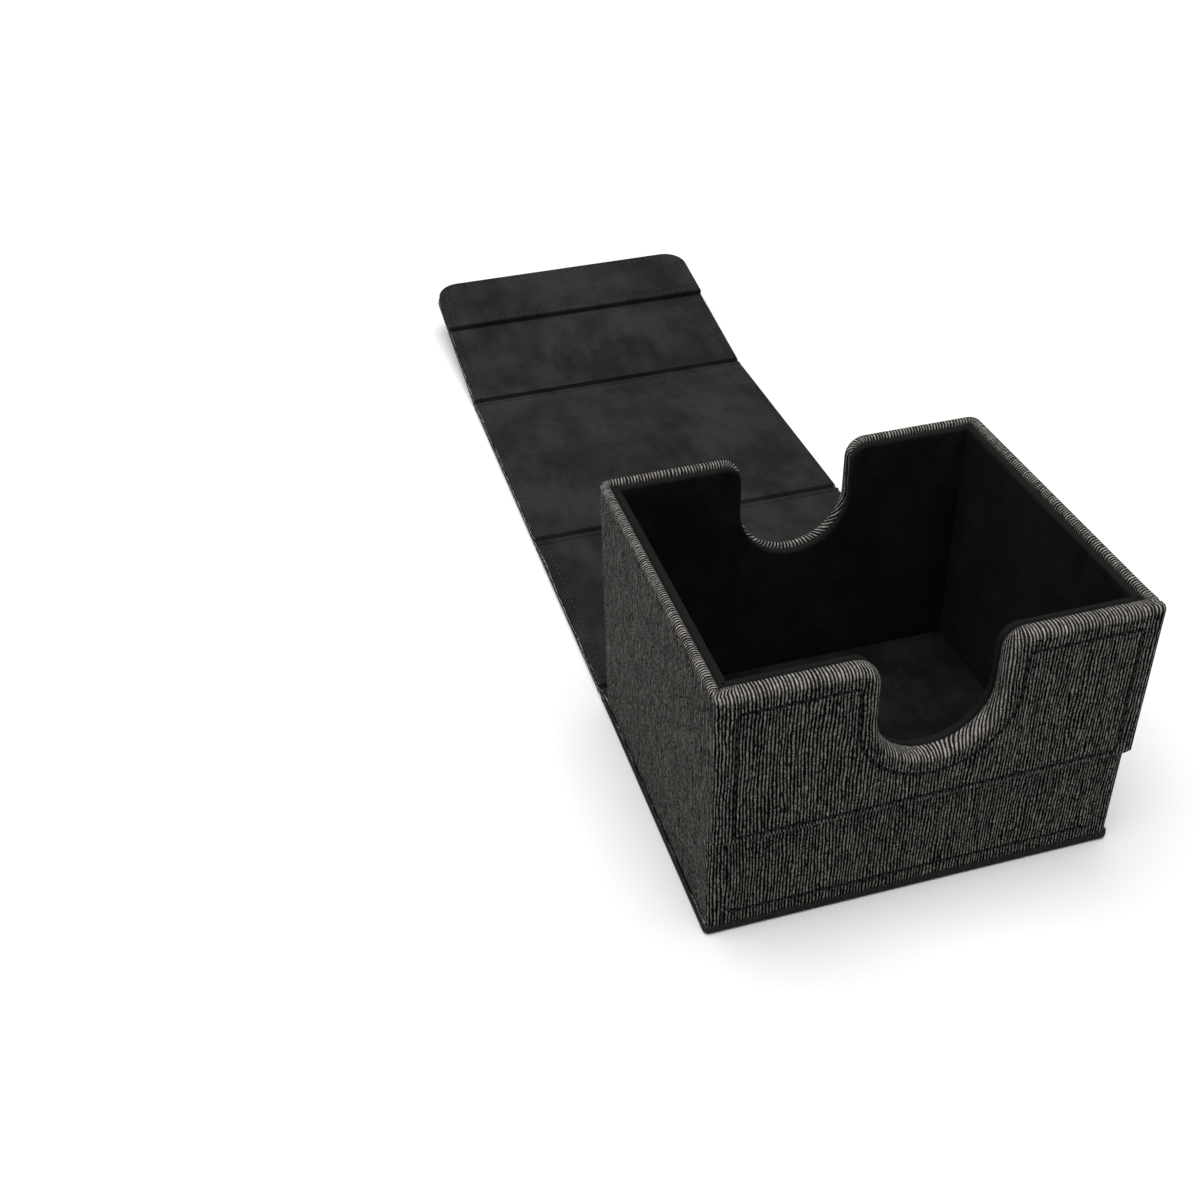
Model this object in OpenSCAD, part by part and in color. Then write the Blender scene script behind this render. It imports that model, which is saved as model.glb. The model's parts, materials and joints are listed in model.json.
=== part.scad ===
// Card deck box with a wrap-around magnetic cover, shown open with the cover laid back.
// Millimetres. Origin: centre of the box's underside, on the table. +X right, +Y back, +Z up.

/* [Box] */
// Width of the box, left to right
body_w = 107; // [100:0.5:115]
// Depth of the box, front wall to back wall
body_d = 89.5; // [80:0.5:110]
// Height of the rim above the table
body_h = 76; // [74:0.5:85]
// Radius of the two front upright corners
corner_r = 1.8; // [1.2:0.1:2]
// Radius of the two back upright corners
back_corner_r = 3; // [1.8:0.1:3]
// Thickness of the wall boards
wall_board_t = 1.4; // [1.2:0.1:2]
// Thickness of the bottom board
bottom_board_t = 1.8; // [1.2:0.1:2.4]
// How far the leatherette is turned down inside the walls
turn_in = 12; // [6:1:20]

/* [Finger notches] */
// Radius of the round bottom of each notch
notch_r = 15; // [12:0.5:18]
// Depth of each notch below the rim
notch_depth = 30; // [26:0.5:34]
// Radius of the shoulder where a notch meets the rim
shoulder_r = 5.5; // [3:0.5:7]

/* [Front overlay] */
// How far the overlay stands proud of the front wall
overlay_t = 2.4; // [1.6:0.1:3]
// Height of the overlay's lower edge above the table
overlay_z = 32; // [28:0.5:38]

/* [Liner] */
// Thickness of the liner boards
liner_board_t = 1.5; // [1:0.1:2]
// How far the liner stops below the rim
liner_drop = 0.8; // [0.4:0.1:2]

/* [Cover] */
// Width of the cover strip
cover_w = 108.6; // [107:0.2:112]
// Thickness of the boards in the cover
cover_board_t = 1.6; // [1.2:0.1:2]
// Air left between the closed cover and the box
lid_gap = 1; // [0.5:0.05:1.5]
// Half width of the flexible strip at each fold
fold_half = 2.75; // [2.7:0.05:3.5]
// Radius of the two corners at the flap's free edge
flap_r = 9.5; // [6:0.5:12]
// How far the closed flap stops above the table
flap_lift = 0.8; // [0.5:0.1:2]
// Angle at which the open flap springs up from the table
flap_spring = 10; // [0:1:20]
// Length of the magnet pad, from the flap's free edge
pad_l = 30.6; // [28:0.2:31]

/* [Magnets] */
// Radius of the disc magnets
magnet_r = 5; // [3:0.5:7]
// Thickness of the disc magnets
magnet_t = 1.1; // [0.8:0.1:1.2]
// Spacing of the disc magnets
magnet_pitch = 32; // [20:1:38]
// Height of the closed magnets above the table
magnet_z = 17; // [14:0.5:22]

/* [Materials] */
// Thickness of the leatherette
skin_t = 0.6; // [0.55:0.05:0.7]
// Thickness of the microsuede
suede_t = 0.4; // [0.3:0.05:0.5]
// Width of a sewn thread
thread_w = 0.45; // [0.3:0.05:0.6]
// How far a thread stands proud
thread_h = 0.2; // [0.1:0.05:0.2]

/* [Hidden] */
$fn = 48;
eps = 0.01;

// Box: wall build-up, from outside to inside
half_w = body_w / 2;
half_d = body_d / 2;
wall_t = wall_board_t + 2 * skin_t;
wall_in_w = half_w - wall_t;
wall_in_d = half_d - wall_t;
notch_z = body_h - notch_depth + notch_r;

// Liner, a hair inside the walls
liner_gap = 0.1;
liner_t = liner_board_t + 2 * suede_t;
liner_out_w = wall_in_w - liner_gap;
liner_out_d = wall_in_d - liner_gap;
room_w = liner_out_w - liner_t;
room_d = liner_out_d - liner_t;
liner_top = body_h - liner_drop;
liner_notch = 0.5;

// Cover: panel build-up and the three fold lines, measured along the opened strip
cover_half = cover_w / 2;
cover_t = skin_t + cover_board_t + suede_t;
base_t = cover_t;
fold_back_y = half_d + lid_gap + cover_t;
back_l = body_h + lid_gap + cover_t;
fold_top_y = fold_back_y + back_l;
top_l = fold_back_y + half_d + overlay_t + lid_gap + cover_t;
fold_front_y = fold_top_y + top_l;
flap_l = back_l - flap_lift;
base_y1 = fold_back_y - fold_half;
back_y0 = fold_back_y + fold_half;
back_y1 = fold_top_y - fold_half;
top_y0 = fold_top_y + fold_half;
top_y1 = fold_front_y - fold_half;
floor_z = base_t + bottom_board_t;
// Magnet pad: it nests under the overlay's lower edge when the cover is closed
pad_start = flap_l - pad_l;
pad_t = overlay_t + lid_gap - 1.2;
pad_inset = 0.6;
magnet_along = back_l - magnet_z;
magnet_fit = 0.05;
overlay_front = half_d + overlay_t;

// Seams
seam_inset = 3.4;
overlay_seam_side = 5;
overlay_seam_top = 5;
overlay_seam_low = 2;
overlay_seam_r = 1.2;
lower_seam_low = 4;
groove_d = 0.3;

// Pressed mark on the flap's outer face: two cards, one over the other
mark_x = 31;
mark_along = back_l - 25;
mark_w = 15;
mark_l = 21;
mark_r = 2.5;
mark_line = 1.4;
mark_d = 0.3;
mark_tilt = [-14, 14];
mark_step = 5;

// Colours
leatherette = "#3a3835";
suede = "#1c1c1c";
greyboard = "#8a8478";
thread = "#101010";
nickel = "#b8b8b4";

// ---- Outlines ----

// Rectangle about the origin with round corners
module round_rect(w, d, r) {
    square([w - 2 * r, d], center = true);
    square([w, d - 2 * r], center = true);
    for (sx = [-1, 1], sy = [-1, 1])
        translate([sx * (w / 2 - r), sy * (d / 2 - r)]) circle(r);
}

// The finger notch seen from the front, grown by e: x across, y up
module notch_outline(e) {
    r = notch_r + e;
    top = body_h + 5;
    translate([0, notch_z]) circle(r);
    translate([-r, notch_z]) square([2 * r, top - notch_z]);
    for (s = [-1, 1])
        translate([s * (notch_r + shoulder_r), body_h - shoulder_r])
            difference() {
                translate([s > 0 ? -shoulder_r : 0, 0]) square([shoulder_r, top - body_h + shoulder_r]);
                circle(shoulder_r - e);
            }
}

// A cover panel's outline, shrunk by e at its edges; far_r rounds the free corners
module panel_outline(y0, y1, e, far_r = 0) {
    w = cover_half - e;
    if (far_r == 0)
        translate([-w, y0]) square([2 * w, y1 - y0]);
    else {
        r = far_r - e;
        far = y1 - e;
        translate([-w, y0]) square([2 * w, far - r - y0]);
        translate([-(w - r), y0]) square([2 * (w - r), far - y0]);
        for (s = [-1, 1]) translate([s * (w - r), far - r]) circle(r);
    }
}

// ---- Placing ----

// Stands an outline drawn as x across and y up in the plane y = y0, filling y0 to y1
module upright(y0, y1) {
    translate([0, y1, 0]) rotate([90, 0, 0]) linear_extrude(y1 - y0) children();
}

// The notch as a cutter through one wall; side is -1 at the front and 1 at the back
module notch_cut(side, e) {
    near = side > 0 ? 0 : -overlay_front - 5;
    upright(near, near + overlay_front + 5) notch_outline(e);
}

// Plan of the box walls, shrunk by e, with the front and the back corners eased
module wall_outline(e) {
    w = half_w - e;
    d = half_d - e;
    front_r = corner_r - e;
    back_r = back_corner_r - e;
    translate([-w, -d + front_r]) square([2 * w, 2 * d - front_r - back_r]);
    translate([-w + front_r, -d]) square([2 * (w - front_r), d]);
    translate([-w + back_r, 0]) square([2 * (w - back_r), d]);
    for (s = [-1, 1]) {
        translate([s * (w - front_r), -d + front_r]) circle(front_r);
        translate([s * (w - back_r), d - back_r]) circle(back_r);
    }
}

module box_ring(out_e, in_e, z0, z1) {
    translate([0, 0, z0]) linear_extrude(z1 - z0) difference() {
        wall_outline(out_e);
        square([body_w - 2 * in_e, body_d - 2 * in_e], center = true);
    }
}

// Puts a piece drawn along the flap, from its fold, where the open flap lies
module on_flap() {
    translate([0, fold_front_y, 0]) rotate([flap_spring, 0, 0]) children();
}

// ---- Box ----

module base_skin() {
    color(leatherette) difference() {
        linear_extrude(base_t) panel_outline(-half_d, base_y1, 0);
        translate([0, 0, skin_t]) linear_extrude(base_t)
            panel_outline(-half_d + skin_t, base_y1 + eps, skin_t);
    }
}

module base_board() {
    color(greyboard) translate([0, 0, skin_t]) linear_extrude(base_t - skin_t)
        panel_outline(-half_d + skin_t, base_y1, skin_t);
}

module bottom_board() {
    w = half_w - skin_t - wall_board_t;
    d = half_d - skin_t - wall_board_t;
    color(greyboard) translate([-w, -d, base_t]) cube([2 * w, 2 * d, bottom_board_t]);
}

// Front or back wall board, full width between the skins
module end_wall_board(side) {
    y0 = side > 0 ? half_d - skin_t - wall_board_t : -half_d + skin_t;
    difference() {
        translate([0, 0, base_t]) linear_extrude(body_h - skin_t - base_t) intersection() {
            wall_outline(skin_t);
            translate([-half_w, y0]) square([body_w, wall_board_t]);
        }
        notch_cut(side, skin_t);
    }
}

module front_wall_board() {
    color(greyboard) difference() {
        end_wall_board(-1);
        magnet_set(magnet_r + magnet_fit, magnet_t + magnet_fit, 0);
    }
}

module back_wall_board() {
    color(greyboard) end_wall_board(1);
}

module side_wall_board(side) {
    x0 = side > 0 ? half_w - skin_t - wall_board_t : -half_w + skin_t;
    y0 = half_d - skin_t - wall_board_t;
    color(greyboard) translate([0, 0, base_t])
        linear_extrude(body_h - skin_t - base_t) intersection() {
            wall_outline(skin_t);
            translate([x0, -y0]) square([wall_board_t, 2 * y0]);
        }
}

module left_wall_board() { side_wall_board(-1); }

module right_wall_board() { side_wall_board(1); }

// Discs let into the outer face of the front wall board, near the table
module magnet_set(r, t, inset) {
    for (i = [-1 : 1])
        translate([i * magnet_pitch, -half_d + skin_t + inset, magnet_z])
            rotate([-90, 0, 0]) cylinder(h = t, r = r);
}

module box_magnets() {
    color(nickel) magnet_set(magnet_r, magnet_t, 0);
}

// The space that the four wall boards fill inside the wrap
module board_space() {
    difference() {
        translate([0, 0, base_t - 1]) linear_extrude(body_h - skin_t - base_t + 1) difference() {
            wall_outline(skin_t);
            square([body_w - 2 * (skin_t + wall_board_t), body_d - 2 * (skin_t + wall_board_t)],
                center = true);
        }
        notch_cut(1, skin_t);
    }
}

// Leatherette round the outside, over the side and back rims and down inside them
module outer_wrap() {
    inner_e = skin_t + wall_board_t;
    color(leatherette) difference() {
        box_ring(0, wall_t, base_t, body_h);
        board_space();
        notch_cut(1, 0);
        notch_cut(-1, skin_t);
        // no turned-in layer below turn_in, except round the back notch
        difference() {
            translate([0, 0, base_t - 1]) linear_extrude(body_h - turn_in - base_t + 1) difference() {
                square([body_w - 2 * inner_e, body_d - 2 * inner_e], center = true);
                square([2 * wall_in_w - 2, 2 * wall_in_d - 2], center = true);
            }
            upright(half_d - 2 * wall_t, half_d) translate([0, notch_z]) circle(notch_r + turn_in);
        }
        // the front rim and the front turned-in layer belong to the overlay's wrap
        translate([-wall_in_w, -half_d - 1, body_h - skin_t]) cube([2 * wall_in_w, wall_t + 1, 5]);
        translate([-wall_in_w, -half_d + inner_e, base_t - 1])
            cube([2 * wall_in_w, skin_t + 1, body_h]);
    }
}

// ---- Front overlay ----

module overlay_block(e, y1) {
    translate([-half_w + e, -overlay_front + e, overlay_z + e])
        cube([body_w - 2 * e, y1 + overlay_front - e, body_h - overlay_z - 2 * e]);
}

module overlay_board() {
    color(greyboard) difference() {
        overlay_block(skin_t, -half_d);
        notch_cut(-1, skin_t);
    }
}

module overlay_wrap() {
    rim_y = -half_d;
    color(leatherette) difference() {
        union() {
            overlay_block(0, -half_d);
            // over the front wall's rim, and turned in behind it
            translate([-wall_in_w, rim_y - eps, overlay_z])
                cube([2 * wall_in_w, wall_t + eps, body_h - overlay_z]);
        }
        notch_cut(-1, 0);
        difference() {
            overlay_block(skin_t, -half_d + eps);
            notch_cut(-1, skin_t);
        }
        // room for the front wall board and its own skin
        difference() {
            translate([-half_w, rim_y, overlay_z - 1])
                cube([body_w, skin_t + wall_board_t, body_h - skin_t - overlay_z + 1]);
            notch_cut(-1, skin_t);
        }
        // the turned-in layer ends below turn_in, except round the notch
        difference() {
            translate([-half_w, rim_y + skin_t + wall_board_t - eps, overlay_z - 1])
                cube([body_w, 2 * skin_t, body_h - turn_in - overlay_z + 1]);
            upright(-half_d, -half_d + 2 * wall_t) translate([0, notch_z])
                circle(notch_r + turn_in);
        }
    }
}

// The overlay's seam line as a closed band
module overlay_seam_area(e) {
    side = half_w - overlay_seam_side - e;
    low = overlay_z + overlay_seam_low + e;
    high = body_h - overlay_seam_top - e;
    r = notch_r + overlay_seam_side + e;
    cr = overlay_seam_r - e;
    difference() {
        translate([-side, low]) square([2 * side, high - low]);
        translate([0, notch_z]) circle(r);
        translate([-r, notch_z]) square([2 * r, body_h]);
        for (s = [-1, 1])
            translate([s * (r + cr), high - cr]) difference() {
                translate([s > 0 ? -cr - eps : 0, 0]) square([cr + eps, cr + eps]);
                circle(cr);
            }
    }
}

module overlay_thread() {
    color(thread) upright(-overlay_front - thread_h, -overlay_front) difference() {
        overlay_seam_area(0);
        overlay_seam_area(thread_w);
    }
}

module lower_seam_area(e) {
    side = half_w - overlay_seam_side - e;
    low = base_t + lower_seam_low + e;
    translate([-side, low]) square([2 * side, overlay_z - low]);
}

module lower_front_thread() {
    color(thread) upright(-half_d - thread_h, -half_d) difference() {
        lower_seam_area(0);
        lower_seam_area(thread_w);
    }
}

// ---- Liner ----

// Solid of the front or back liner; e shrinks its faces, top and notch down to the board
module end_liner(side, e) {
    y0 = side > 0 ? room_d : -liner_out_d;
    difference() {
        translate([-room_w, y0 + e, floor_z])
            cube([2 * room_w, liner_t - 2 * e, liner_top - e - floor_z]);
        notch_cut(side, liner_notch + e);
    }
}

module side_liner(side, e) {
    x0 = side > 0 ? room_w : -liner_out_w;
    translate([x0 + e, -liner_out_d, floor_z])
        cube([liner_t - 2 * e, 2 * liner_out_d, liner_top - e - floor_z]);
}

module front_liner_board() { color(greyboard) end_liner(-1, suede_t); }

module back_liner_board() { color(greyboard) end_liner(1, suede_t); }

module left_liner_board() { color(greyboard) side_liner(-1, suede_t); }

module right_liner_board() { color(greyboard) side_liner(1, suede_t); }

module front_liner_suede() { color(suede) difference() { end_liner(-1, 0); end_liner(-1, suede_t); } }

module back_liner_suede() { color(suede) difference() { end_liner(1, 0); end_liner(1, suede_t); } }

module left_liner_suede() { color(suede) difference() { side_liner(-1, 0); side_liner(-1, suede_t); } }

module right_liner_suede() { color(suede) difference() { side_liner(1, 0); side_liner(1, suede_t); } }

module floor_liner_board() {
    color(greyboard) translate([-room_w, -room_d, floor_z])
        cube([2 * room_w, 2 * room_d, liner_board_t]);
}

module floor_liner_suede() {
    color(suede) translate([-room_w, -room_d, floor_z + liner_board_t])
        cube([2 * room_w, 2 * room_d, suede_t]);
}

// ---- Cover ----

// A band along a panel's edges, seam_inset in from them, grown by g
module seam_band(y0, y1, g, far_r = 0) {
    difference() {
        panel_outline(y0, y1, seam_inset - g, far_r);
        translate([0, -eps]) panel_outline(y0, y1 + 2 * eps, seam_inset + thread_w + g, far_r);
    }
}

// Leatherette of one panel: the face towards the table and the edges turned up round the board
module panel_skin(y0, y1, far_r = 0) {
    e_far = far_r > 0 ? 0 : eps;
    difference() {
        linear_extrude(cover_t - suede_t) panel_outline(y0, y1, 0, far_r);
        translate([0, 0, skin_t]) linear_extrude(cover_t)
            panel_outline(y0 - eps, y1 + e_far, skin_t, far_r);
        translate([0, 0, -eps]) linear_extrude(groove_d + eps) seam_band(y0 - eps, y1 + e_far, 0.05, far_r);
    }
}

module panel_board(y0, y1, far_r = 0) {
    translate([0, 0, skin_t]) linear_extrude(cover_board_t) panel_outline(y0, y1, skin_t, far_r);
}

module panel_lining(y0, y1, far_r = 0) {
    translate([0, 0, cover_t - suede_t]) linear_extrude(suede_t) panel_outline(y0, y1, 0, far_r);
}

// Thread on both faces of a straight panel: proud of the lining, sunk in the leatherette
module panel_thread(y0, y1) {
    color(thread) for (z = [groove_d - thread_h, cover_t])
        translate([0, 0, z]) linear_extrude(thread_h) seam_band(y0, y1, 0);
}

// Flexible strip across a fold, between heights z0 and z1, bent up by angle at its middle
module fold_strip(y, z0, z1, angle = 0) {
    bend = tan(angle / 2);
    translate([-cover_half, y, 0]) rotate([90, 0, 90]) linear_extrude(cover_w) polygon([
        [-fold_half, z0], [-z0 * bend, z0], turned(fold_half, z0, angle),
        turned(fold_half, z1, angle), [-z1 * bend, z1], [-fold_half, z1]
    ]);
}

function turned(y, z, angle) = [y * cos(angle) - z * sin(angle), y * sin(angle) + z * cos(angle)];

module back_fold_skin() { color(leatherette) fold_strip(fold_back_y, 0, skin_t); }

module back_fold_lining() { color(suede) fold_strip(fold_back_y, skin_t, skin_t + suede_t); }

module back_board() { color(greyboard) panel_board(back_y0, back_y1); }

module back_skin() { color(leatherette) panel_skin(back_y0, back_y1); }

module back_lining() { color(suede) panel_lining(back_y0, back_y1); }

module back_thread() { panel_thread(back_y0, back_y1); }

module top_fold_skin() { color(leatherette) fold_strip(fold_top_y, 0, skin_t); }

module top_fold_lining() { color(suede) fold_strip(fold_top_y, skin_t, skin_t + suede_t); }

module top_board() { color(greyboard) panel_board(top_y0, top_y1); }

module top_skin() { color(leatherette) panel_skin(top_y0, top_y1); }

module top_lining() { color(suede) panel_lining(top_y0, top_y1); }

module top_thread() { panel_thread(top_y0, top_y1); }

module front_fold_skin() { color(leatherette) fold_strip(fold_front_y, 0, skin_t, flap_spring); }

module front_fold_lining() {
    color(suede) fold_strip(fold_front_y, skin_t, skin_t + suede_t, flap_spring);
}

// ---- Flap, drawn along its length from the fold ----

module flap_board() {
    color(greyboard) on_flap() panel_board(fold_half, flap_l, flap_r);
}

// One card outline of the pressed mark
module mark_card(e) {
    round_rect(mark_w - 2 * e, mark_l - 2 * e, mark_r - e / 2);
}

module mark_outline() {
    for (i = [0, 1])
        translate([(i - 0.5) * mark_step, 0]) rotate(mark_tilt[i]) difference() {
            mark_card(0);
            mark_card(mark_line);
        }
}

module flap_skin() {
    color(leatherette) on_flap() difference() {
        panel_skin(fold_half, flap_l, flap_r);
        translate([mark_x, mark_along, -eps]) linear_extrude(mark_d + eps) mark_outline();
    }
}

module flap_lining() {
    color(suede) on_flap() panel_lining(fold_half, flap_l, flap_r);
}

module pad_solid(e) {
    translate([0, 0, cover_t]) linear_extrude(pad_t - e)
        panel_outline(pad_start + e, flap_l, pad_inset + e, flap_r);
}

module pad_board() {
    color(greyboard) on_flap() difference() {
        pad_solid(suede_t);
        pad_magnets(magnet_r + magnet_fit, magnet_t + magnet_fit);
    }
}

module pad_lining() {
    color(suede) on_flap() difference() {
        pad_solid(0);
        pad_solid(suede_t);
    }
}

// Discs let into the face of the pad board that lies on the flap
module pad_magnets(r, t) {
    for (i = [-1 : 1])
        translate([i * magnet_pitch, magnet_along, cover_t]) cylinder(h = t, r = r);
}

module flap_magnets() {
    color(nickel) on_flap() pad_magnets(magnet_r, magnet_t);
}

// Seam on the outer face, on the bare lining, round the pad and along the pad's inner edge
module flap_thread() {
    pad_top = cover_t + pad_t;
    step = pad_start + 2.2;
    color(thread) on_flap() {
        translate([0, 0, groove_d - thread_h]) linear_extrude(thread_h)
            seam_band(fold_half, flap_l, 0, flap_r);
        translate([0, 0, cover_t]) linear_extrude(thread_h)
            seam_band(fold_half, pad_start - 0.5, 0);
        translate([0, 0, pad_top]) linear_extrude(thread_h) {
            seam_band(step, flap_l, 0, flap_r);
            translate([-cover_half + seam_inset, step])
                square([cover_w - 2 * seam_inset, thread_w]);
        }
    }
}

base_skin();
base_board();
bottom_board();
front_wall_board();
back_wall_board();
left_wall_board();
right_wall_board();
outer_wrap();
overlay_board();
overlay_wrap();
box_magnets();
front_liner_board();
back_liner_board();
left_liner_board();
right_liner_board();
floor_liner_board();
front_liner_suede();
back_liner_suede();
left_liner_suede();
right_liner_suede();
floor_liner_suede();
overlay_thread();
lower_front_thread();
back_fold_skin();
back_fold_lining();
back_board();
back_skin();
back_lining();
back_thread();
top_fold_skin();
top_fold_lining();
top_board();
top_skin();
top_lining();
top_thread();
front_fold_skin();
front_fold_lining();
flap_board();
flap_skin();
flap_lining();
flap_thread();
pad_board();
pad_lining();
flap_magnets();
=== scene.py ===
import json
import math

import bmesh
import bpy
import numpy as np
from mathutils import Matrix, Vector


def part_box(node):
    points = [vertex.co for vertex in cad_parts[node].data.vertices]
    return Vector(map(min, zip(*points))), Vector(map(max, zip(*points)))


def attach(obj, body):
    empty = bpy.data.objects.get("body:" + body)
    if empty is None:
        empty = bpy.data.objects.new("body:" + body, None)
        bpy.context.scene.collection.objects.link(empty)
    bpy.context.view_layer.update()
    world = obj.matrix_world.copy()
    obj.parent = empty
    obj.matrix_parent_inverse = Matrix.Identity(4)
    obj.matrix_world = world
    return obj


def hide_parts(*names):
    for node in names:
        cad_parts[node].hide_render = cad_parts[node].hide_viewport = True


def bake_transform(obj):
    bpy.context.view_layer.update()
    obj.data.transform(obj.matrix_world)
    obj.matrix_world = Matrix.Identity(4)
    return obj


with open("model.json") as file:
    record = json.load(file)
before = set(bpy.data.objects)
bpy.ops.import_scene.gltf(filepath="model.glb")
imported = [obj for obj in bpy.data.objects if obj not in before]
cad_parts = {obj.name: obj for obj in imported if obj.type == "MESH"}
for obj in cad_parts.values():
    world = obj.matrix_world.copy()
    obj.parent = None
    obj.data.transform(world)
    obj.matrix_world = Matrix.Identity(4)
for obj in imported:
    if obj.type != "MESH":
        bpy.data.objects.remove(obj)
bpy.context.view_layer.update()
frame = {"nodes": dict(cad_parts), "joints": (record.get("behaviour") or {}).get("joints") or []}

# Lengths in this script are millimetres until a mesh is made
MM = 0.001


def measured(node):
    low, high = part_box(node)
    return np.array(low) / MM, np.array(high) / MM


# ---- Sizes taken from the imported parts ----

wrap_low, wrap_high = measured("outer_wrap")
half_w = wrap_high[0]
half_d = wrap_high[1]
rim_z = wrap_high[2]
wall_foot = wrap_low[2]
overlay_low = measured("overlay_wrap")[0]
overlay_t = -half_d - overlay_low[1]
overlay_foot = overlay_low[2]
liner_low, liner_high = measured("left_liner_suede")
liner_top = liner_high[2]
liner_out_w = -liner_low[0]
liner_out_d = measured("back_liner_suede")[1][1]
liner_t = liner_high[0] - liner_low[0]
liner_floor_z = measured("floor_liner_suede")[1][2]
cover_half = measured("base_skin")[1][0]
back_fold, top_fold, front_fold = [joint["pos_m"][1] / MM for joint in frame["joints"]]
fold_half = measured("back_board")[0][1] - back_fold
flap_spring = math.radians(-frame["joints"][2]["range_deg"][0])

# ---- The maker's own sizes: thickness, rounding, seams and notches ----

wall_t = 2.6
cover_t = 2.6
flap_l = (top_fold - back_fold) - 0.8
pad_l = 30.6
pad_t = 2.2
pad_start = flap_l - pad_l
pad_top = cover_t + pad_t
notch_r = 15
notch_depth = 30
shoulder_r = 5.5
corner_r = 1.8
back_corner_r = 3.0
rim_r = 1.25
rim_corner_r = 0.9
flap_r = 9.5
seam_inset = 3.4

# Distance that stands for "no seam or mark near"
far_away = 50.0

# ---- Shader helpers ----


def feed(tree, socket, value):
    """Links a socket to a source, or sets it to a plain value."""
    if isinstance(value, bpy.types.NodeSocket):
        tree.links.new(value, socket)
    else:
        socket.default_value = value


def wire(tree, kind, inputs=None, **settings):
    """Adds a node, fills its inputs from values or from other sockets, and returns it."""
    made = tree.nodes.new(kind)
    for name, value in settings.items():
        setattr(made, name, value)
    for key, value in (inputs or {}).items():
        feed(tree, made.inputs[key], value)
    return made


def calc(tree, operation, *values):
    return wire(tree, "ShaderNodeMath", dict(enumerate(values)), operation=operation).outputs[0]


def plus(tree, first, second):
    return calc(tree, "ADD", first, second)


def minus(tree, first, second):
    return calc(tree, "SUBTRACT", first, second)


def times(tree, first, second):
    return calc(tree, "MULTIPLY", first, second)


def ramp(tree, value, low, high, out_low=0.0, out_high=1.0):
    """Smooth step from out_low to out_high as value goes from low to high."""
    inputs = {"Value": value, "From Min": low, "From Max": high, "To Min": out_low, "To Max": out_high}
    return wire(tree, "ShaderNodeMapRange", inputs, interpolation_type="SMOOTHSTEP").outputs[0]


def speckle(tree, x, y, z, scale_x, scale_y, detail=2.0, rough=0.5):
    """Noise that is stretched by its two scales, per millimetre."""
    at = wire(tree, "ShaderNodeCombineXYZ", {
        "X": times(tree, x, scale_x),
        "Y": times(tree, y, scale_y),
        "Z": z,
    })
    inputs = {"Vector": at.outputs[0], "Scale": 1.0, "Detail": detail, "Roughness": rough}
    return wire(tree, "ShaderNodeTexNoise", inputs).outputs["Fac"]


def tint(tree, factor, first, second):
    """Mixes two colours."""
    made = wire(tree, "ShaderNodeMix", {0: factor}, data_type="RGBA")
    colours = [socket for socket in made.inputs if socket.type == "RGBA"]
    feed(tree, colours[0], first)
    feed(tree, colours[1], second)
    return [socket for socket in made.outputs if socket.type == "RGBA"][0]


def blend_value(tree, factor, first, second):
    """Mixes two numbers."""
    return wire(tree, "ShaderNodeMix", {0: factor, 2: first, 3: second}, data_type="FLOAT").outputs[0]


def new_group(name, inputs, outputs):
    """Starts a node group. inputs are (name, kind, default), outputs are (name, kind)."""
    tree = bpy.data.node_groups.new(name, "ShaderNodeTree")
    for label, kind, value in inputs:
        socket = tree.interface.new_socket(label, in_out="INPUT", socket_type=kind)
        if value is not None:
            socket.default_value = value
    for label, kind in outputs:
        tree.interface.new_socket(label, in_out="OUTPUT", socket_type=kind)
    return tree, tree.nodes.new("NodeGroupInput"), tree.nodes.new("NodeGroupOutput")


FLOAT = "NodeSocketFloat"
VECTOR = "NodeSocketVector"


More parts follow.
